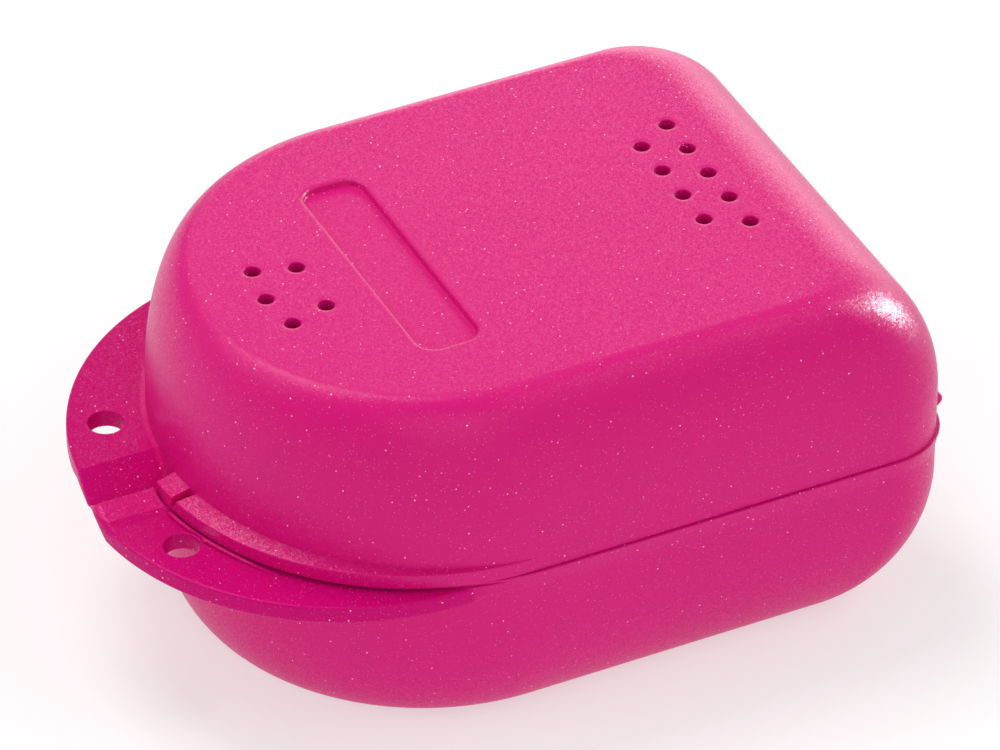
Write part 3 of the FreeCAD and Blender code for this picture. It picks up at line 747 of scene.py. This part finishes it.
def along_arc(name, centre_y, profiles, start, turn, tail=()):
    """Solid through upright cross sections of (radius, height) set round an arc, then
    moved straight back to each Y of the tail."""
    rings = []
    for k, profile in enumerate(profiles):
        angle = radians(start + turn * k / (len(profiles) - 1))
        across, along = cos(angle), sin(angle)
        rings.append([(r * across, centre_y + r * along, z) for r, z in profile])
    for y in tail:
        rings.append([(r, y, z) for r, z in profiles[-1]])
    return stack(name, rings)


sill_profiles = []
for k in range(SILL_STEPS + 1):
    fade = min(1.0, k / 14) * min(1.0, (SILL_STEPS - k) / 2 + 0.4)
    low = FLANGE_GAP - 0.12 - 0.48 * fade
    sill_profiles.append([
        (SILL_INSIDE, SILL_ROOT), (SILL_INSIDE, low + 0.1), (35.27, low),
        (35.56, low), (SILL_OUTSIDE, low + 0.12), (SILL_OUTSIDE, SILL_ROOT),
    ])
sill = along_arc("sill", rim_centre_y, sill_profiles, SILL_START, SILL_TURN)
combine(shell, sill, "UNION")

lip_profiles = [LIP_PROFILE] * (LIP_STEPS + 1)
lip = along_arc("lip", wall_centre_y, lip_profiles, LIP_START, LIP_TURN, LIP_TAIL)
combine(shell, lip, "UNION")
print("with sill and lip: volume mm3", round(volume(shell)))

# %% [markdown]
# ## The hinge
#
# At the back a pin is held between two lugs on the left, and a hook on the right snaps over
# the other shell's pin.  All of them are side views carried along X.  A narrow bevel on the
# loose pieces, before they are joined, gives them the soft edges of a moulding.

# %% Lugs, pin and hook
HINGE_Y = REAR_REACH + 1.15
LUG_RADIUS = 0.95
PIN_RADIUS = 0.7
HOOK_BORE = 0.8
HOOK_OUTSIDE = 1.5
ROOT_Y = REAR_REACH - WALL / 2
LUG_TOP = 3.2
LUG_WIDTH = 3.2
LUG_LEFT_SIDES = (("outer_lug", -26.1), ("inner_lug", -18.1))
BETWEEN_LUGS = (-22.9, -18.1)
PIN_ENDS = (-23.2, -17.8)
HOOK_ENDS = (18.4, 22.6)
HOOK_TIP = -87  # degrees
HOOK_CLEARANCE = 0.25


def side_arc(radius, start, end, steps):
    """Points (y, z) about the hinge axis, both ends included."""
    return arc_with_end((HINGE_Y, 0.0), radius, start, end, steps)


def slice_along_x(name, profile, start, end, soft=0.0):
    """Side view of (y, z) points carried along X, with bevelled edges if asked."""
    piece = stack(name, [[(x, y, z) for y, z in profile] for x in (start, end)])
    if soft:
        bevel = piece.modifiers.new("soft", "BEVEL")
        bevel.width = soft
        bevel.segments = 2
        bevel.limit_method = "ANGLE"
        bevel.angle_limit = radians(50)
        freeze(piece)
    return piece


def tangent_angle(radius):
    """Where a line from the top of the root touches a circle about the hinge axis."""
    back, rise = ROOT_Y - HINGE_Y, LUG_TOP
    return degrees(atan2(rise, back) - acos(radius / sqrt(back * back + rise * rise)))


around = side_arc(HOOK_OUTSIDE + HOOK_CLEARANCE, 0, 352, 44)
combine(shell, slice_along_x("hinge_relief", around, *BETWEEN_LUGS), "DIFFERENCE")

root, top = [(ROOT_Y, RIM_FACE)], [(ROOT_Y, LUG_TOP)]
lug_end = 360 + tangent_angle(LUG_RADIUS)
lug_profile = root + side_arc(LUG_RADIUS, 174, lug_end, 28) + top
for name, left in LUG_LEFT_SIDES:
    lug = slice_along_x(name, lug_profile, left, left + LUG_WIDTH, soft=0.12)
    combine(shell, lug, "UNION")
combine(shell, slice_along_x("pin", side_arc(PIN_RADIUS, 0, 352, 44), *PIN_ENDS), "UNION")

inside = side_arc(HOOK_BORE, HOOK_TIP, 173, 32)
outside = side_arc(HOOK_OUTSIDE, HOOK_TIP, tangent_angle(HOOK_OUTSIDE), 24)
hook_profile = root + inside[::-1] + outside + top
combine(shell, slice_along_x("hook", hook_profile, *HOOK_ENDS, soft=0.1), "UNION")
print("with the hinge: volume mm3", round(volume(shell)))

# %% [markdown]
# ## Cord hole
#
# One hole for a neck cord goes through each half of the flange.  Its cutter widens a little
# at both faces, which leaves a rounded rim that catches the light.

# %% Cord hole
CORD_CENTRE = (-11.3, -37.3)
CORD_RADIUS = 2.25


def flared_hole(name, centre, radius, rows):
    """Round cutter whose radius changes with the height: rows of (height, extra)."""
    return stack(name, [
        [(x, y, height) for x, y in arc_points(centre, radius + extra, 0, 360, 64)]
        for height, extra in rows
    ])


cord_rows = [(-1.0, 0.6), (0.38, 0.17), (0.43, 0.08), (0.52, 0.02), (0.64, 0.0),
             (2.56, 0.0), (2.68, 0.02), (2.77, 0.08), (2.82, 0.17), (4.0, 0.6)]
cord_hole = flared_hole("cord_hole", CORD_CENTRE, CORD_RADIUS, cord_rows)
combine(shell, cord_hole, "DIFFERENCE")
print("with the cord hole: volume mm3", round(volume(shell)))

# %% [markdown]
# ## Ventilation holes
#
# Nine holes at the back stand in two staggered rows, and five at the front on two arcs.
# Holes that repeat are work for Geometry Nodes: points are laid out from the row pitch and
# the arc's step, one cutter is put on every point, and the made-real cutters are taken out
# of the shell.  The cutter flares into a very shallow dish at the surface, which gives each
# hole the pale halo of the photograph.

# %% Node tree that drills the holes
def vent_tree(cutter):
    """Lays out two back rows and two front arcs, and drills a hole at each point."""
    tree, start, end, identifiers = new_tree("vent_holes", {
        "Back Row": ("Float", 39.9),
        "Second Row": ("Float", 34.95),
        "Pitch": ("Float", 5.65),
        "Outer Arc": ("Float", 20.5),
        "Inner Arc": ("Float", 15.05),
        "Arc Step": ("Float", radians(16.5)),
        "Material": ("Material", None),
    })
    layout = node(tree, "GeometryNodeJoinGeometry")
    for label, count in (("Back Row", 5), ("Second Row", 4)):
        row = node(tree, "GeometryNodeMeshLine", mode="OFFSET")
        row.inputs["Count"].default_value = count
        first = node(tree, "ShaderNodeCombineXYZ")
        middle = (1 - count) / 2
        feed(tree, first.inputs[0], calculate(tree, "MULTIPLY", start["Pitch"], middle))
        feed(tree, first.inputs[1], start[label])
        step = node(tree, "ShaderNodeCombineXYZ")
        feed(tree, step.inputs[0], start["Pitch"])
        tree.links.new(first.outputs[0], row.inputs["Start Location"])
        tree.links.new(step.outputs[0], row.inputs["Offset"])
        tree.links.new(row.outputs[0], layout.inputs[0])
    for label, count in (("Outer Arc", 3), ("Inner Arc", 2)):
        bow = node(tree, "GeometryNodeCurveArc", mode="RADIUS")
        bow.inputs["Resolution"].default_value = count
        feed(tree, bow.inputs["Radius"], start[label])
        step = start["Arc Step"]
        feed(tree, bow.inputs["Start Angle"], calculate(tree, "SUBTRACT", -pi / 2, step))
        feed(tree, bow.inputs["Sweep Angle"], calculate(tree, "MULTIPLY", step, 2.0))
        as_mesh = node(tree, "GeometryNodeCurveToMesh")
        tree.links.new(bow.outputs[0], as_mesh.inputs[0])
        tree.links.new(as_mesh.outputs[0], layout.inputs[0])
    tool = node(tree, "GeometryNodeObjectInfo")
    tool.inputs["Object"].default_value = cutter
    placed = node(tree, "GeometryNodeInstanceOnPoints")
    tree.links.new(layout.outputs[0], placed.inputs["Points"])
    tree.links.new(tool.outputs["Geometry"], placed.inputs["Instance"])
    solid = node(tree, "GeometryNodeRealizeInstances")
    tree.links.new(placed.outputs[0], solid.inputs[0])
    drilled = node(tree, "GeometryNodeMeshBoolean", operation="DIFFERENCE", solver="EXACT")
    tree.links.new(start["Geometry"], drilled.inputs[0])
    tree.links.new(solid.outputs[0], drilled.inputs[1])
    end_tree(tree, drilled.outputs[0], start["Material"], end)
    return tree, identifiers


VENT_RADIUS = 1.05
dish = [  # depth under the top, and what it adds to the radius
    (3, -0.03), (0.3, 0.0), (0.17, 0.02), (0.1, 0.07), (0.065, 0.16),
    (0.04, 0.27), (0.018, 0.42), (0.004, 0.58), (-0.01, 0.7), (-1, 1.0),
]
vent_rows = [(HALF_HEIGHT - depth, extra) for depth, extra in dish]
vent_cutter = flared_hole("vent_cutter", (0, 0), VENT_RADIUS, vent_rows)
vent_holes, vent_inputs = vent_tree(vent_cutter)
drill = shell.modifiers.new("vents", "NODES")
drill.node_group = vent_holes
drill[vent_inputs["Material"]] = plastic
freeze(shell)
bpy.data.objects.remove(vent_cutter)
print("with the vents: volume mm3", round(volume(shell)))

# %% [markdown]
# ## Label recess, and a shell for each body
#
# The lid alone has a shallow bare recess for a name label.  Its edge rolls over gently, so
# that a thin line of light runs along it, and its floor has a small fillet.  The shell is
# then copied for each body.  The copies go from millimetres to the frame's metres, the base
# is turned over, and the smooth shading keeps an edge wherever two faces meet at more than
# 32 degrees.

# %% Recess and finished shells
LABEL_LENGTH = 36.2
LABEL_WIDTH = 8.0
LABEL_CORNER = 2.4
LABEL_Y = -3.85
KEPT_EDGE = radians(32)


def rounded_bar(length, width, corner, centre_y):
    """Rectangle with rounded corners seen from above."""
    half_x, half_y = length / 2 - corner, width / 2 - corner
    points = []
    for sign_x, sign_y, start in ((1, -1, 270), (1, 1, 0), (-1, 1, 90), (-1, -1, 180)):
        centre = (sign_x * half_x, centre_y + sign_y * half_y)
        points += arc_with_end(centre, corner, start, start + 90, 16)
    return points


def label_cutter():
    """Rounded bars from the recess's floor upwards: rows of (depth, extra)."""
    rows = [(0.9, -0.2), (0.86, -0.06), (0.75, 0.0), (0.36, 0.05), (0.22, 0.1), (0.13, 0.17),
            (0.07, 0.27), (0.03, 0.4), (0.006, 0.55), (-0.01, 0.66), (-1, 1.0)]
    rings = []
    for depth, extra in rows:
        length, width = LABEL_LENGTH + 2 * extra, LABEL_WIDTH + 2 * extra
        bar = rounded_bar(length, width, LABEL_CORNER + extra, LABEL_Y)
        rings.append([(x, y, HALF_HEIGHT - depth) for x, y in bar])
    return stack("label_cutter", rings)


def finished(source, name, turned_over):
    """Copy of a shell in the frame's place, in metres, with clean shading."""
    piece = as_object(name, source.data.copy())
    place = Matrix.Translation((0, LENGTH_SHIFT, HALF_HEIGHT))
    if turned_over:
        place = place @ Matrix.Rotation(pi, 4, "Y")
    piece.data.transform(Matrix.Scale(1 / MM_PER_M, 4) @ place)
    piece.data.materials.clear()
    piece.data.materials.append(plastic)
    for face in piece.data.polygons:
        face.material_index = 0
        face.use_smooth = True
    piece.data.set_sharp_from_angle(angle=KEPT_EDGE)
    even = piece.modifiers.new("even", "WEIGHTED_NORMAL")
    even.keep_sharp = True
    freeze(piece)
    return piece


base_shell = finished(shell, "base_shell", turned_over=True)
combine(shell, label_cutter(), "DIFFERENCE")
lid_shell = finished(shell, "lid_shell", turned_over=False)
bpy.data.objects.remove(shell)

for piece, body, cad_node in (
    (lid_shell, "lid", "upper_shell"),
    (base_shell, "base", "lower_shell"),
):
    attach(piece, body)
    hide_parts(cad_node)
    size = round(MM_PER_M ** 3 * volume(piece))
    print(piece.name, "faces", len(piece.data.polygons), "volume mm3", size)

# %% [markdown]
# ## Floor, camera and light
#
# The photograph is a studio shot on white.  A large pale floor takes the contact shadow and
# glows a little, like the light table under many product shots, so that it stays white.
# The camera stands where the photograph's camera stood, found by fitting the case's
# outline, holes and corners; it is far away with a long lens, so lines stay nearly parallel.

# %% Floor and camera
FLOOR_REACH = 3.0


def pale_floor():
    """Large glowing square under the case."""
    mesh = bpy.data.meshes.new("floor")
    corners = [(x * FLOOR_REACH, y * FLOOR_REACH, 0)
               for x, y in ((-1, -1), (1, -1), (1, 1), (-1, 1))]
    mesh.from_pydata(corners, [], [(0, 1, 2, 3)])
    floor = as_object("floor", mesh)
    material = bpy.data.materials.new("floor_paper")
    material.use_nodes = True
    paper = material.node_tree.nodes["Principled BSDF"]
    paper.inputs["Base Color"].default_value = (0.5, 0.5, 0.5, 1)
    paper.inputs["Roughness"].default_value = 0.9
    paper.inputs["Specular IOR Level"].default_value = 0.0
    paper.inputs["Emission Color"].default_value = (1, 1, 1, 1)
    paper.inputs["Emission Strength"].default_value = 0.5
    mesh.materials.append(material)
    return floor


pale_floor()

AZIMUTH = radians(63.685)
ELEVATION = radians(37.314)
ROLL = radians(0.326)
FOCAL_PIXELS = 8136.25
FRAME_WIDTH = 1000
SENSOR = 36.0
EYE_RIGHT, EYE_UP, EYE_BACK = 0.01013, 0.004377, 1.00958

back = Vector((
    sin(AZIMUTH) * cos(ELEVATION), -cos(AZIMUTH) * cos(ELEVATION), sin(ELEVATION),
))
level_right = Vector((cos(AZIMUTH), sin(AZIMUTH), 0))
level_up = back.cross(level_right)
right = cos(ROLL) * level_right + sin(ROLL) * level_up
up = -sin(ROLL) * level_right + cos(ROLL) * level_up
aim = Vector((0, LENGTH_SHIFT / MM_PER_M, HALF_HEIGHT / MM_PER_M))
eye = aim + EYE_RIGHT * right + EYE_UP * up + EYE_BACK * back
camera = bpy.data.objects.new("camera", bpy.data.cameras.new("camera"))
bpy.context.scene.collection.objects.link(camera)
axes = Matrix((right, up, back)).transposed().to_4x4()
camera.matrix_world = Matrix.Translation(eye) @ axes
camera.data.sensor_fit = "HORIZONTAL"
camera.data.sensor_width = SENSOR
camera.data.lens = FOCAL_PIXELS * SENSOR / FRAME_WIDTH
camera.data.clip_start = 0.05
bpy.context.scene.camera = camera
print("camera at", [round(value, 4) for value in eye], "lens", round(camera.data.lens, 1))

# %% [markdown]
# The light is soft: a panel above, a key panel behind and two fills.  A low panel behind
# gives the back rounding its sheen, one above the front does so for the front rounding, and
# a small bright one makes the grainy highlight on the back corner.  The place of that one
# follows from mirroring the line of sight in the surface, where the highlight is.  These
# three only give gloss, so they don't flatten the colour of the plastic.  The plain view
# transform keeps the magenta as saturated as in the photograph.

# %% Light
def panel(name, target, direction, distance, width, height, watts, gloss_only=False):
    """Rectangular light that shines on the target from a direction."""
    light = bpy.data.lights.new(name, "AREA")
    light.shape = "RECTANGLE"
    light.size = width
    light.size_y = height
    light.energy = watts
    made = bpy.data.objects.new(name, light)
    bpy.context.scene.collection.objects.link(made)
    towards = Vector(direction).normalized()
    made.matrix_world = (
        Matrix.Translation(Vector(target) + distance * towards)
        @ towards.to_track_quat("Z", "Y").to_matrix().to_4x4()
    )
    made.visible_diffuse = not gloss_only
    return made


centre = Vector((0, 0, 0.024))
corner = Vector((0.0305, 0.0411, 0.0444))
corner_normal = Vector((0.56, 0.437, 0.704)).normalized()
sight = (eye - corner).normalized()
mirrored = 2 * sight.dot(corner_normal) * corner_normal - sight
panel("corner_panel", corner, mirrored, 0.9, 0.2, 0.32, 25.0, gloss_only=True)
panel("back_panel", centre, (-0.75, 0.66, 0.2), 0.45, 0.5, 0.34, 1.5, gloss_only=True)
panel("streak_panel", centre, (-0.25, -0.45, 0.86), 0.9, 0.5, 0.3, 2.5, gloss_only=True)
panel("top_panel", centre, (-0.38, -0.12, 0.95), 1.3, 0.55, 0.55, 7.6)
panel("key_panel", centre, (0.35, 0.8, 0.75), 1.3, 1.0, 0.7, 4.0)
panel("side_panel", centre, (1.0, -0.25, 0.5), 1.4, 0.9, 0.8, 4.0)
panel("front_panel", centre, (-0.35, -1.0, 0.7), 1.4, 0.9, 0.7, 3.2)

world = bpy.data.worlds.new("studio")
world.use_nodes = True
background = world.node_tree.nodes["Background"]
background.inputs["Color"].default_value = (1.0, 0.99, 0.985, 1)
background.inputs["Strength"].default_value = 0.42
bpy.context.scene.world = world
bpy.context.scene.view_settings.view_transform = "Standard"
print("mirrored direction", [round(value, 2) for value in mirrored])
